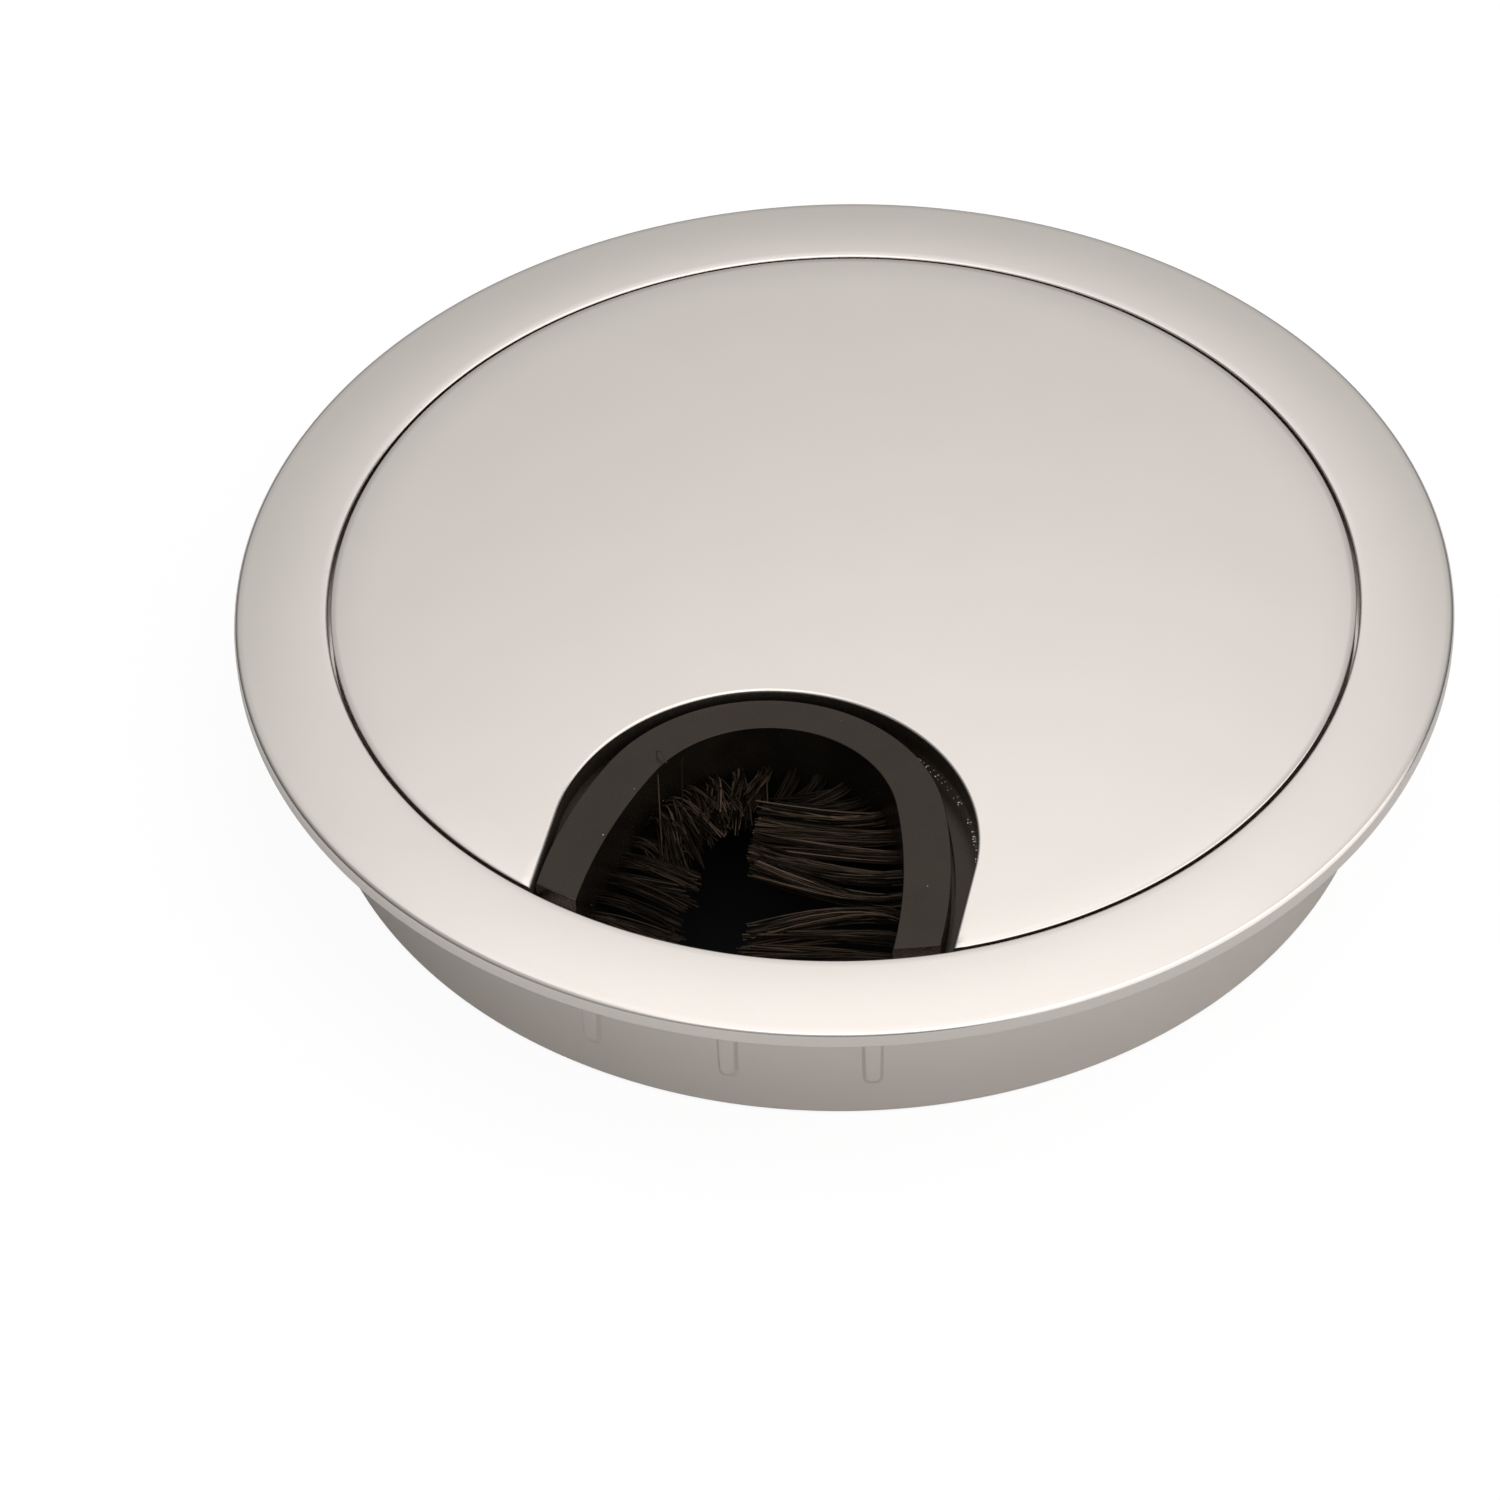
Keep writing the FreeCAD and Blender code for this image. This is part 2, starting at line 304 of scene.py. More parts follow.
def rim_height(radius):
    """The rim's face is very slightly crowned."""
    return top - (radius - rim_crest) ** 2 / (2 * rim_crown)


def base_ring_casting():
    """The turned ring with its ribs."""
    bm = bmesh.new()
    rim_face = [flange_radius + (seat_radius - flange_radius) * step / rim_steps
                for step in range(rim_steps + 1)]
    profile = [
        (seat_radius, 0), (tube_radius, 0),
        (tube_radius, flange_foot), (flange_radius, flange_foot),
        *[(radius, rim_height(radius)) for radius in rim_face],
        (seat_radius, ledge_top), (ledge_radius, ledge_top),
        (ledge_radius, ledge_foot), (seat_radius, ledge_foot),
    ]
    corners = [bm.verts.new((radius, 0, height)) for radius, height in profile]
    outline = [bm.edges.new((corners[i - 1], corners[i])) for i in range(len(corners))]
    bmesh.ops.spin(bm, geom=corners + outline, cent=(0, 0, 0), axis=UP, angle=2 * math.pi,
                   steps=ring_steps, use_merge=True)
    bmesh.ops.recalc_face_normals(bm, faces=bm.faces)
    soften(bm, circle_edges(bm, flange_radius, rim_height(flange_radius)), rim_round, 4)
    for radius, height, size in (
            (flange_radius, flange_foot, 0.15), (tube_radius, 0, 0.35), (seat_radius, 0, 0.2),
            (seat_radius, rim_height(seat_radius), 0.17),
            (ledge_radius, ledge_top, 0.1), (ledge_radius, ledge_foot, 0.1)):
        soften(bm, circle_edges(bm, radius, height), size * mm)
    for angle in rib_angles:
        add_crush_rib(bm, angle)
    return bm


nickel = satin_nickel()
ring = put_in_scene(base_ring_casting(), "base_ring_casting", nickel)
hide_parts("base_ring")


# Lid. The same casting and finish: a flat plate that drops into the ring, with a U cut-out
# to its edge. A skirt under it centres it on the ledge, a lip follows the cut-out,
# and three pegs with formed heads hold the brush holder.
lid_radius = seat_radius - 0.24 * mm
lid_roll = 3.6 * mm
lid_roll_drop = 0.047 * mm
lid_roll_depth = 0.25 * mm
lid_rings = (0, 0.5 * mm, 1.2 * mm, 2.2 * mm, lid_roll)
lid_steps = 224
lid_edge_round = 0.09 * mm
wall_slant = 0.1
plate_foot = top - 1.8 * mm
skirt_radius = ledge_radius - 0.4 * mm
skirt_thickness = 1.5 * mm
skirt_foot = top - 4.2 * mm
skirt_steps = 180
skirt_setback = 0.02 * mm
cutout_radius = 15.0 * mm
cutout_centre = 27.0 * mm
cutout_round = 0.2 * mm
quarter_steps = 48
lip_width = 3.4 * mm
lip_foot = top - 2.6 * mm
peg_reach = 17.0 * mm
peg_radius = 1.1 * mm
peg_head_radius = 1.5 * mm
peg_head_height = 0.7 * mm
peg_sunk = 0.5 * mm
peg_sides = 24
holder_flange_thickness = 1.5 * mm


def painted_shade_casting():
    """The walls of the plate's edge and cut-out in a darker, duller metal: painted shade for the
    seam's gap and the cut-out.
    """
    material = grained_material(
        "painted_shade_casting", size=0.2, dark=(0.26, 0.21, 0.17), light=(0.42, 0.34, 0.28),
        smooth=0.3, rough=0.45, toned_by="Grain")[0]
    material.node_tree.nodes["Principled BSDF"].inputs["Metallic"].default_value = 1.0
    return material


def turn_on(bm, start, centre, angle, steps):
    """Draws an arc from a vertex round a centre and gives its other end."""
    swept = bmesh.ops.spin(bm, geom=[start], cent=centre, axis=UP, angle=angle, steps=steps)
    return swept["geom_last"][0]


def line_on(bm, start, end):
    """Draws a straight line from a vertex to a place and gives its other end."""
    finish = bmesh.ops.extrude_vert_indiv(bm, verts=[start])["verts"][0]
    finish.co = end
    return finish


def cutout_side(bm, start, radius, reach, side):
    """Draws half of a U outline from its apex to where it meets a circle about the axis."""
    centre = Vector((0, -cutout_centre, start.co.z))
    quarter = turn_on(bm, start, centre, -side * math.pi / 2, quarter_steps)
    end = Vector((side * radius, -math.sqrt(reach ** 2 - radius ** 2), start.co.z))
    return line_on(bm, quarter, end)


def thicken(bm, height):
    """Gives a flat shape a height. Gives the edges round its raised face."""
    far_side = bmesh.ops.extrude_face_region(bm, geom=bm.faces[:])["geom"]
    verts = [part for part in far_side if isinstance(part, bmesh.types.BMVert)]
    bmesh.ops.translate(bm, verts=verts, vec=(0, 0, height))
    bmesh.ops.recalc_face_normals(bm, faces=bm.faces)
    return [part for part in far_side if isinstance(part, bmesh.types.BMEdge)
            and part.calc_face_angle(0) > corner_angle]


def lid_plate():
    """The plate, in rings along its rolled edge and one face inside them, with walls in a darker
    metal as painted shade.
    """
    bm = bmesh.new()
    rings = []
    for inward in lid_rings:
        radius = lid_radius - inward
        gap_angle = math.asin(cutout_radius / radius)
        start = bm.verts.new((cutout_radius, -radius * math.cos(gap_angle), plate_foot))
        turn_on(bm, start, (0, 0, plate_foot), 2 * (math.pi - gap_angle), lid_steps)
        rings.append(circle_edges(bm, radius, plate_foot))
    for outer, inner in zip(rings, rings[1:]):
        bmesh.ops.bridge_loops(bm, edges=outer + inner)
    for side in (1, -1):
        apex = bm.verts.new((0, cutout_radius - cutout_centre, plate_foot))
        cutout_side(bm, apex, cutout_radius, radius, side)
    bmesh.ops.remove_doubles(bm, verts=bm.verts, dist=same_place)
    cutout_edges = [edge for edge in bm.edges if edge.is_wire]
    bmesh.ops.contextual_create(bm, geom=cutout_edges + circle_edges(bm, radius, plate_foot))
    top_edges = thicken(bm, top - plate_foot)
    seam = circle_edges(bm, lid_radius, top)
    soften(bm, [edge for edge in top_edges if edge not in seam], cutout_round)
    soften(bm, circle_edges(bm, lid_radius, top), lid_edge_round)
    for vertex in bm.verts:
        over = (vertex.co.xy.length - lid_radius) / lid_roll + 1
        if over > 0 and vertex.co.z > top - lid_roll_depth:
            vertex.co.z -= lid_roll_drop * over ** 3
    bm.normal_update()
    # Every wall of the plate takes the darker metal: painted shade in the seam's gap and the
    # cut-out.
    for face in bm.faces:
        if abs(face.normal.z) < wall_slant:
            face.material_index = 1
    return bm


def lid_skirt():
    """The skirt and the rest of the plate's edge, all round except at the cut-out."""
    bm = bmesh.new()
    inner = skirt_radius - skirt_thickness
    gap_angle = math.asin(cutout_radius / inner)
    outer = lid_radius - skirt_setback
    profile = [
        (inner, plate_foot), (inner, skirt_foot), (skirt_radius, skirt_foot),
        (skirt_radius, ledge_top), (outer, ledge_top), (outer, plate_foot),
    ]
    corners = [bm.verts.new((0, -radius, height)) for radius, height in profile]
    bm.faces.new(corners)
    bmesh.ops.rotate(bm, verts=bm.verts, cent=(0, 0, 0),
                     matrix=Matrix.Rotation(gap_angle, 3, "Z"))
    bmesh.ops.spin(bm, geom=bm.verts[:] + bm.edges[:] + bm.faces[:], cent=(0, 0, 0),
                   axis=UP, angle=2 * (math.pi - gap_angle), steps=skirt_steps)
    bmesh.ops.recalc_face_normals(bm, faces=bm.faces)
    return bm


def lid_lip():
    """The lip that follows the cut-out under the plate."""
    bm = bmesh.new()
    wide = cutout_radius + lip_width
    for side in (1, -1):
        ends = []
        for radius in (cutout_radius, wide):
            start = bm.verts.new((0, radius - cutout_centre, lip_foot))
            ends.append(cutout_side(bm, start, radius, skirt_radius, side))
        bm.edges.new(ends)
    bmesh.ops.remove_doubles(bm, verts=bm.verts, dist=same_place)
    bmesh.ops.contextual_create(bm, geom=bm.edges[:])
    thicken(bm, plate_foot - lip_foot)
    return bm


def lid_peg(place):
    """A peg through the holder's flange, with its head formed over it."""
    bm = bmesh.new()
    flange_under = lip_foot - holder_flange_thickness
    shank = bmesh.ops.create_cone(bm, cap_ends=True, segments=peg_sides, radius1=peg_radius,
                                  radius2=peg_radius,
                                  depth=holder_flange_thickness + 2 * peg_sunk)
    bmesh.ops.translate(bm, verts=shank["verts"],
                        vec=(0, 0, flange_under + holder_flange_thickness / 2))
    head = bmesh.ops.create_uvsphere(bm, u_segments=peg_sides, v_segments=peg_sides // 2,
                                     radius=1)["verts"]
    bmesh.ops.scale(bm, verts=head, vec=(peg_head_radius, peg_head_radius, peg_head_height))
    bmesh.ops.translate(bm, verts=head, vec=(0, 0, flange_under))
    bmesh.ops.translate(bm, verts=bm.verts, vec=place)
    return bm


def join(pieces):
    """One bmesh of several."""
    whole = bmesh.new()
    for bm in pieces:
        mesh = bpy.data.meshes.new("part")
        bm.to_mesh(mesh)
        bm.free()
        whole.from_mesh(mesh)
        bpy.data.meshes.remove(mesh)
    return whole


peg_angles = (90, -10, 190)
peg_places = [
    Vector((math.cos(turn), math.sin(turn), 0)) * peg_reach - Vector((0, cutout_centre, 0))
    for turn in map(math.radians, peg_angles)
]
lid_pieces = [lid_plate(), lid_skirt(), lid_lip()] + [lid_peg(place) for place in peg_places]
lid = put_in_scene(join(lid_pieces), "lid_casting", nickel)
# The second material darkens the plate's walls: painted shade.
lid.data.materials.append(painted_shade_casting())
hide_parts("lid")


# Brush holder. A U moulded in black plastic. Its collar stands in the lid's cut-out,
# a flange under the lid takes the pegs, and the bristles are set in its inner wall.
holder_low, holder_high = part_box("brush_holder")
collar_top = holder_high.z
holder_foot = holder_low.z
holder_shift = -0.45 * mm
holder_end_radius = ledge_radius - 0.3 * mm
collar_apex, collar_top_radius, collar_side_radius = 12.45 * mm, 13.0 * mm, 37.0 * mm
mouth_apex, mouth_top_radius, mouth_side_radius = 15.3 * mm, 9.4 * mm, 40.8 * mm
flange_width = 5.0 * mm
groove_width, groove_depth = 0.3 * mm, 0.9 * mm
arch_joint = math.radians(70)
arch_steps = 24
collar_round = 0.07 * mm
dust_line_radius = cutout_radius - 0.06 * mm
dust_line_way = 0.55
dust_line_reach = 11.0 * mm
dust_tone = (0.8, 0.76, 0.72, 1)
dust_cover = 0.7
warm_sheen = (1.0, 0.8, 0.64, 1)


def black_plastic():
    """Moulded black plastic, satin, with a faint grain, dust, and a line of dust at the right."""
    material, place, grain, tone = grained_material(
        "black_plastic", size=0.06, dark=(0.002, 0.0015, 0.001), light=(0.016, 0.013, 0.010),
        smooth=0.2, rough=0.32)
    nodes, links = material.node_tree.nodes, material.node_tree.links
    shader = nodes["Principled BSDF"]
    shader.inputs["Specular IOR Level"].default_value = 0.5
    shader.inputs["Specular Tint"].default_value = warm_sheen
    from_centre = nodes.new("ShaderNodeVectorMath")
    from_centre.inputs[1].default_value = (0, cutout_centre, 0)
    links.new(place.outputs["Object"], from_centre.inputs[0])
    to_right = nodes.new("ShaderNodeVectorMath")
    to_right.operation = "DOT_PRODUCT"
    to_right.inputs[1].default_value = (math.cos(dust_line_way), math.sin(dust_line_way), 0)
    links.new(from_centre.outputs[0], to_right.inputs[0])
    right = nodes.new("ShaderNodeMath")
    right.operation = "GREATER_THAN"
    right.inputs[1].default_value = dust_line_reach
    links.new(to_right.outputs["Value"], right.inputs[0])
    dusty = tone
    for output, cell, speck, share in (
            ("Anywhere", 1.3 * mm, 0.05 * mm, 0.3), ("Near", 0.21 * mm, 0.07 * mm, 0.55)):
        dust = specks(material, from_centre.outputs[0], Radius=dust_line_radius,
                      Width=0.1 * mm, Cell=cell, Speck=speck, Share=share)
        amount = nodes.new("ShaderNodeMath")
        amount.operation = "MULTIPLY"
        amount.inputs[1].default_value = dust_cover
        links.new(dust.outputs[output], amount.inputs[0])
        if output == "Near":
            links.new(right.outputs[0], amount.inputs[1])
        cover = nodes.new("ShaderNodeMix")
        cover.data_type = "RGBA"
        cover.inputs["B"].default_value = dust_tone
        links.new(amount.outputs[0], cover.inputs["Factor"])
        links.new(dusty.outputs["Result"], cover.inputs["A"])
        dusty = cover
    links.new(dusty.outputs["Result"], shader.inputs["Base Color"])
    raised(material, grain.outputs["Grain"], 0.3, 0.03 * mm)
    return material


def arch_side(bm, start, apex, top_radius, side_radius, side):
    """Draws half of an arch from its apex until it is past the ends of the arms."""
    spread = side_radius - top_radius
    top_centre = Vector((0, -apex - top_radius, start.co.z))
    joint = turn_on(bm, start, top_centre, -side * arch_joint, arch_steps)
    to_joint = Vector((side * math.sin(arch_joint), math.cos(arch_joint), 0))
    side_centre = top_centre - to_joint * spread
    past_end = math.asin((-seat_radius - side_centre.y) / side_radius)
    turn_on(bm, joint, side_centre, -side * (math.pi / 2 - arch_joint - past_end), arch_steps)


def arch_band(outer, inner, low, high):
    """A U-shaped band between two arches, with its arms cut to length, and its top edges."""
    bm = bmesh.new()
    for apex, top_radius, side_radius in (outer, inner):
        for side in (1, -1):
            start = bm.verts.new((0, -apex, low))
            arch_side(bm, start, apex, top_radius, side_radius, side)
    bmesh.ops.translate(bm, verts=bm.verts, vec=(holder_shift, 0, 0))
    bmesh.ops.remove_doubles(bm, verts=bm.verts, dist=same_place)
    bmesh.ops.bridge_loops(bm, edges=bm.edges[:])
    for side in (1, -1):
        ends = [v.co for v in bm.verts
                if v.co.x * side > 0 and v.co.y < -seat_radius + close_by]
        middle = sum((end.xy for end in ends), Vector((0, 0))) / len(ends)
        outward = Vector((*middle.normalized(), 0))
        bmesh.ops.bisect_plane(bm, geom=bm.verts[:] + bm.edges[:] + bm.faces[:],
                               plane_co=outward * holder_end_radius, plane_no=outward,
                               clear_outer=True)
    return bm, thicken(bm, high - low)


def brush_holder_moulding():
    """The collar's wall, the flange under the lid and the groove between them."""
    collar = (collar_apex, collar_top_radius, collar_side_radius)
    mouth = (mouth_apex, mouth_top_radius, mouth_side_radius)
    beside, wide = [(collar_apex - width, collar_top_radius + width, collar_side_radius + width)
                    for width in (groove_width, flange_width)]
    wall, top_edges = arch_band(collar, mouth, holder_foot, collar_top)
    soften(wall, top_edges, collar_round)
    groove_foot = lip_foot - groove_depth
    web, _ = arch_band(wide, collar, lip_foot - holder_flange_thickness, groove_foot)
    flange, _ = arch_band(wide, beside, groove_foot, lip_foot)
    return join([wall, web, flange])


plastic = black_plastic()
holder = put_in_scene(brush_holder_moulding(), "brush_holder_moulding", plastic)
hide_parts("brush_holder")


# Bristles. Nylon bundles set in the holder's inner wall. Those of the right arm lie close
# together across the outlet and end in a straight cut at the slot. Those of the left half
# are ruffled by use: the ones of the round end stand up and fan out.
tufts_on_a_side = 11
tuft_pitch = 2.05 * mm
tuft_level = top - 5.0 * mm
tuft_hole_radius = 0.55 * mm
bristle_radius = 0.055 * mm
bristle_points = 7
bristles_in_wisp = 5
gathered_at_tip = 0.4
stray_share = 0.13
bend_shares = (0.15, 0.4)
belly_shares = (0.7, 1.3)


def bristle_nylon():
    """Brown-black nylon, a little shiny; its tone comes from each bristle's shade attribute: a
    random tone, a few light ones as painted highlights, times the tuft's painted light or shade.
    """
    material = bpy.data.materials.new("bristle_nylon")
    material.use_nodes = True
    nodes, links = material.node_tree.nodes, material.node_tree.links
    shader = nodes["Principled BSDF"]
    shader.inputs["Roughness"].default_value = 0.4
    shader.inputs["Specular IOR Level"].default_value = 0.12
    shader.inputs["Specular Tint"].default_value = warm_sheen
    shade = nodes.new("ShaderNodeAttribute")
    shade.attribute_name = "shade"
    tone = nodes.new("ShaderNodeMix")
    tone.data_type = "RGBA"
    tone.inputs["A"].default_value = (0.003, 0.002, 0.001, 1)
    tone.inputs["B"].default_value = (0.170, 0.117, 0.082, 1)
    links.new(shade.outputs["Fac"], tone.inputs["Factor"])
    links.new(tone.outputs["Result"], shader.inputs["Base Color"])
    return material


def tuft_station(count):
    """Root of a tuft and the way out of its hole, counted from the apex, right side positive."""
    side = 1 if count > 0 else -1
    along = abs(count) * tuft_pitch
    half_crown = mouth_top_radius * arch_joint
    centre = Vector((0, -mouth_apex - mouth_top_radius, 0))
    if along <= half_crown:
        turn = math.pi / 2 - along / mouth_top_radius
        radius = mouth_top_radius
    else:
        turn = math.pi / 2 - arch_joint - (along - half_crown) / mouth_side_radius
        radius = mouth_side_radius
        spread = mouth_side_radius - mouth_top_radius
        centre -= Vector((side * math.sin(arch_joint), math.cos(arch_joint), 0)) * spread
    outward = Vector((side * math.cos(turn), math.sin(turn), 0))
    return centre + outward * radius + Vector((holder_shift, 0, tuft_level)), -outward


def in_disc(chance, radius):
    """An even random place in a disc."""
    angle = chance.uniform(0, 2 * math.pi)
    reach = radius * math.sqrt(chance.random())
    return reach * math.cos(angle), reach * math.sin(angle)


def bristle_line(root, way, tip, belly, spread, uneven, wisp, chance):
    """The places that one bristle runs through: out of its hole, a bend near it, the tip."""
    across, upward = in_disc(chance, tuft_hole_radius)
    start = root + way.cross(UP) * across + UP * upward
    side = (tip - root).normalized().cross(UP)
    stray = spread * stray_share
    end = (tip + side * (across * gathered_at_tip + wisp[0] + chance.gauss(0, stray))
           + UP * (upward * gathered_at_tip + wisp[1] + chance.gauss(0, stray)))
    end = start + (end - start) * chance.uniform(1 - uneven, 1 + uneven / 4)
    bend = (start + way * (tip - root).length * chance.uniform(*bend_shares)
            + UP * belly * chance.uniform(*belly_shares))
    yield start - way * mm
    for step in range(bristle_points):
        t = step / (bristle_points - 1)
        yield start * (1 - t) ** 2 + bend * 2 * t * (1 - t) + end * t ** 2


def bristle_bundle(name, lines, light, chance):
    """Bristles as one mesh, each with a random tone, most of them dark and a few light as painted
    highlights, times the tuft's painted light or shade.
    """
    curve = bpy.data.curves.new(name, "CURVE")
    curve.dimensions = "3D"
    curve.bevel_depth = bristle_radius
    curve.bevel_resolution = 0
    curve.use_fill_caps = True
    for places in lines:
        spline = curve.splines.new("POLY")
        spline.points.add(len(places) - 1)
        for point, place in zip(spline.points, places):
            point.co = (*place, 1)
    strands = bpy.data.objects.new(name, curve)
    mesh = bpy.data.meshes.new_from_object(strands)
    bpy.data.objects.remove(strands)
    corners = len(mesh.vertices) // len(lines)
    # Each bristle's tone is random, a few light ones as painted highlights, scaled by the tuft's
    # painted light or shade.
    tones_with_painted_light = [light * chance.random() ** 3 for _ in lines]
    shade = mesh.attributes.new("shade", "FLOAT", "POINT")
    for index, value in enumerate(shade.data):
        value.value = tones_with_painted_light[min(index // corners, len(lines) - 1)]
    mesh.materials.clear()
    mesh.materials.append(nylon)
    mesh.shade_smooth()
    piece = bpy.data.objects.new(name, mesh)
    bpy.context.scene.collection.objects.link(piece)
    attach(piece, "root")
    return piece


# Where the tip of each tuft lies, how far its bristles rise on the way, how far they spread,
# how uneven they are, how many wisps they form and how much painted light or shade they get,
# from the end of the right arm to the end of the left one.
tuft_stances = [
    # x, y, rise, belly, spread in millimetres, share of the length, wisps, share of the light
    # (the last is painted light and shade on the bristles' tone: high on the lit right arm, low in
    # shade)
    (-0.6, -33.3, -0.6, 0.4, 0.8, 0.10, 10, 0.5), (-0.4, -32.0, -0.5, 0.8, 0.8, 0.12, 10, 0.7),
    (-0.2, -31.2, -0.3, 1.6, 0.8, 0.12, 12, 1.0), (-1.4, -25.1, 0.1, -1.2, 0.9, 0.04, 14, 1.0),
    (-1.9, -23.8, 0.1, -0.4, 0.9, 0.03, 14, 1.0), (-1.9, -22.6, 0.1, 0.2, 0.9, 0.03, 14, 1.0),
    (-2.0, -21.4, 0.1, 0.4, 0.8, 0.06, 12, 0.9), (-2.1, -19.4, -0.2, 0.4, 0.6, 0.15, 8, 0.8),
    (-1.6, -18.8, -0.8, 0.0, 0.9, 0.2, 8, 0.3), (-2.2, -18.4, -1.2, 0.0, 0.9, 0.25, 8, 0.25),
    (-1.9, -18.6, -2.4, -0.6, 0.9, 0.3, 8, 0.1), (-2.1, -18.8, -2.2, -0.4, 0.9, 0.3, 8, 0.1),
    (-3.0, -19.4, -0.4, 0.6, 1.5, 0.3, 9, 0.45), (-3.5, -20.4, -0.3, 0.8, 1.7, 0.3, 9, 0.6),
    (-4.2, -21.2, -0.4, 1.0, 1.8, 0.25, 10, 0.75), (-4.8, -21.8, -0.4, 1.2, 1.9, 0.3, 9, 0.6),
    (-5.4, -23.4, -0.4, 1.6, 1.9, 0.3, 9, 0.6), (-6.3, -26.2, -0.6, 2.8, 1.7, 0.2, 9, 0.5),
    (-6.3, -25.0, -0.6, 0.6, 1.5, 0.25, 9, 0.4), (-4.9, -26.9, -0.5, 0.4, 0.8, 0.15, 10, 0.4),
    (-5.0, -29.0, -0.5, 0.4, 1.0, 0.2, 8, 0.3), (-5.2, -31.4, -0.5, 0.4, 1.0, 0.2, 8, 0.3),
    (-5.0, -33.4, -0.5, 0.4, 0.9, 0.2, 9, 0.4),
]
# Two long hairs that stand up out of their tufts, in millimetres.
stray_hairs = {
    19: [(-9.3, -25.0, 8.8), (-7.2, -27.2, 8.0), (-7.7, -26.2, 8.9), (-8.1, -24.8, 10.0),
         (-9.0, -21.5, 12.4), (-9.5, -19.7, 13.7), (-9.1, -19.9, 13.9), (-8.5, -20.7, 13.6)],
    20: [(-9.6, -26.6, 8.8), (-6.5, -26.9, 7.8), (-6.6, -26.1, 8.4), (-6.7, -24.4, 9.8),
         (-7.0, -22.5, 12.0), (-7.3, -21.2, 13.0), (-7.5, -20.3, 13.6), (-7.4, -20.0, 13.8)],
}
nylon = bristle_nylon()
for number, stance in enumerate(tuft_stances, 1):
    x, y, rise, belly, spread, uneven, wisps, light = stance
    chance = random.Random(number)
    root, way = tuft_station(tufts_on_a_side + 1 - number)
    tip = Vector((x * mm, y * mm, root.z + rise * mm))
    lines = []
    for _ in range(wisps):
        wisp = in_disc(chance, spread * mm)
        for _ in range(bristles_in_wisp):
            lines.append(list(bristle_line(root, way, tip, belly * mm, spread * mm, uneven,
                                           wisp, chance)))
    if number in stray_hairs:
        lines.append([Vector(place) * mm for place in stray_hairs[number]])
    # light is the tuft's painted light or shade on its bristles' tone.
    bundle = bristle_bundle("bristles_%02d" % number, lines, light, chance)
    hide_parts("bristle_tuft_%02d" % number)


# Studio. A plain pale floor, painted nearly black inside the tube as painted shade, a big softbox
# to the right of the grommet, and a pale surround with a soft round glow overhead, which the
# nickel faces mirror.
floor_light = 1.09
floor_light_share = 0.85
floor_tone = (0.65, 0.65, 0.65, 1)
# Inside the tube the floor is painted nearly black: painted shade.
painted_shade_tone = (0.01, 0.01, 0.01, 1)
under_fade = 2 * mm
glow_place = (-0.126, 0, 0.889)
glow_core, glow_edge = 0.152, 0.272
glow_strength = 1.21
haze_near, haze_far = 0.3, 1.0
haze_strength_near, haze_strength_far = 0.55, 0.1


def floor_white():
    """White floor that keeps the object's soft shadow; inside the tube it is painted nearly black
    as painted shade, with no light of its own.
    """
    material = bpy.data.materials.new("floor_white")
    material.use_nodes = True
    nodes, links = material.node_tree.nodes, material.node_tree.links
    nodes.clear()
    matt = nodes.new("ShaderNodeBsdfDiffuse")
    bright = nodes.new("ShaderNodeEmission")
    bright.inputs["Strength"].default_value = floor_light
    rays = nodes.new("ShaderNodeLightPath")
    place = nodes.new("ShaderNodeTexCoord")
    distance = nodes.new("ShaderNodeVectorMath")
    distance.operation = "LENGTH"
    clear = nodes.new("ShaderNodeMapRange")
    clear.inputs["From Min"].default_value = tube_radius - under_fade
    clear.inputs["From Max"].default_value = tube_radius
    share = nodes.new("ShaderNodeMath")
    share.operation = "MULTIPLY"
    seen = nodes.new("ShaderNodeMath")
    seen.operation = "MULTIPLY"
    seen.inputs[1].default_value = floor_light_share
    # Painted shade: nearly black inside the tube, the floor's tone outside it.
    under = nodes.new("ShaderNodeMix")
    under.data_type = "RGBA"
    under.inputs["A"].default_value = painted_shade_tone
    under.inputs["B"].default_value = floor_tone
    links.new(place.outputs["Object"], distance.inputs[0])
    links.new(distance.outputs["Value"], clear.inputs["Value"])
    links.new(clear.outputs["Result"], share.inputs[1])
    links.new(clear.outputs["Result"], under.inputs["Factor"])
    links.new(under.outputs["Result"], matt.inputs["Color"])
    mixed = nodes.new("ShaderNodeMixShader")
    output = nodes.new("ShaderNodeOutputMaterial")
    links.new(rays.outputs["Is Camera Ray"], seen.inputs[0])
    links.new(seen.outputs[0], share.inputs[0])
    links.new(share.outputs[0], mixed.inputs["Fac"])
    links.new(matt.outputs[0], mixed.inputs[1])
    links.new(bright.outputs[0], mixed.inputs[2])
    links.new(mixed.outputs[0], output.inputs["Surface"])
    return material


def studio_floor():
    """A wide square that the grommet stands on."""
    bm = bmesh.new()
    bmesh.ops.create_grid(bm, x_segments=1, y_segments=1, size=3)
    mesh = bpy.data.meshes.new("floor")
    bm.to_mesh(mesh)
    bm.free()
    mesh.materials.append(floor_white())
    floor = bpy.data.objects.new("floor", mesh)
    bpy.context.scene.collection.objects.link(floor)


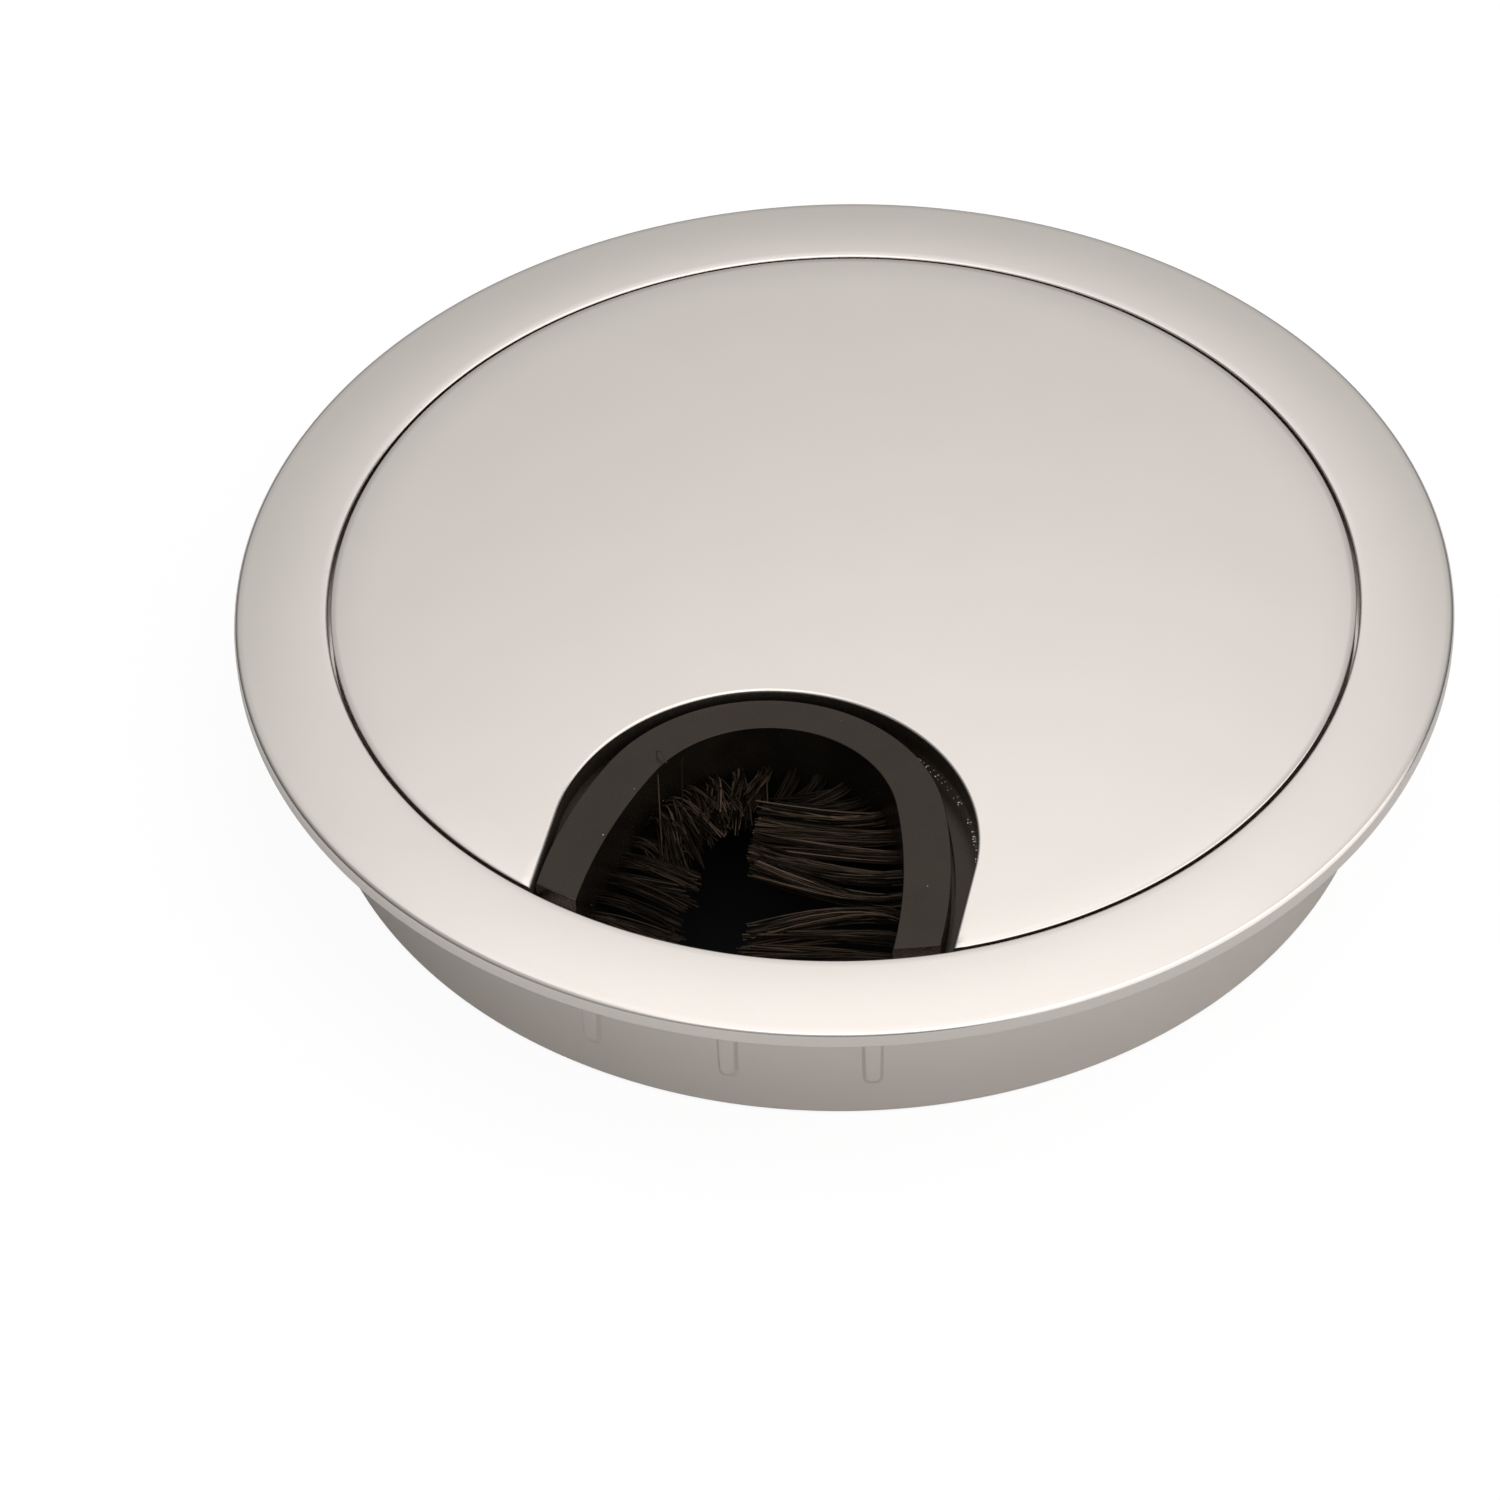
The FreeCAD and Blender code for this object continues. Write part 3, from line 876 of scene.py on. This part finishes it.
def softbox(name, place, size, power):
    """A square area light that faces the grommet."""
    light = bpy.data.lights.new(name, "AREA")
    light.size = size
    light.energy = power
    lamp = bpy.data.objects.new(name, light)
    lamp.matrix_world = (Matrix.Translation(place)
                         @ Vector(place).to_track_quat("Z", "Y").to_matrix().to_4x4())
    bpy.context.scene.collection.objects.link(lamp)


def pale_surround():
    """White for the camera, and else a soft round glow overhead in a haze that fades outwards."""
    world = bpy.data.worlds.new("surround")
    world.use_nodes = True
    nodes, links = world.node_tree.nodes, world.node_tree.links
    background = nodes["Background"]
    background.inputs["Color"].default_value = (1, 1, 1, 1)
    place = nodes.new("ShaderNodeTexCoord")
    sideways = nodes.new("ShaderNodeVectorMath")
    sideways.operation = "MULTIPLY"
    sideways.inputs[1].default_value = (1, 0, 1)
    from_glow = nodes.new("ShaderNodeVectorMath")
    from_glow.operation = "DISTANCE"
    from_glow.inputs[1].default_value = glow_place
    light = nodes.new("ShaderNodeMapRange")
    light.interpolation_type = "SMOOTHSTEP"
    light.inputs["From Min"].default_value = glow_edge
    light.inputs["From Max"].default_value = glow_core
    light.inputs["To Max"].default_value = glow_strength
    haze = nodes.new("ShaderNodeMapRange")
    haze.inputs["From Min"].default_value = haze_far
    haze.inputs["From Max"].default_value = haze_near
    haze.inputs["To Min"].default_value = haze_strength_far
    haze.inputs["To Max"].default_value = haze_strength_near
    rays = nodes.new("ShaderNodeLightPath")
    strength = nodes.new("ShaderNodeMix")
    strength.inputs["B"].default_value = 1.0
    links.new(place.outputs["Generated"], sideways.inputs[0])
    links.new(sideways.outputs[0], from_glow.inputs[0])
    links.new(from_glow.outputs["Value"], haze.inputs["Value"])
    links.new(from_glow.outputs["Value"], light.inputs["Value"])
    links.new(haze.outputs["Result"], light.inputs["To Min"])
    links.new(rays.outputs["Is Camera Ray"], strength.inputs["Factor"])
    links.new(light.outputs["Result"], strength.inputs["A"])
    links.new(strength.outputs["Result"], background.inputs["Strength"])
    bpy.context.scene.world = world


studio_floor()
pale_surround()
softbox("softbox_right", place=(0.74, -0.19, 0.74), size=1.95, power=11.6)
bpy.context.scene.view_settings.view_transform = "Standard"
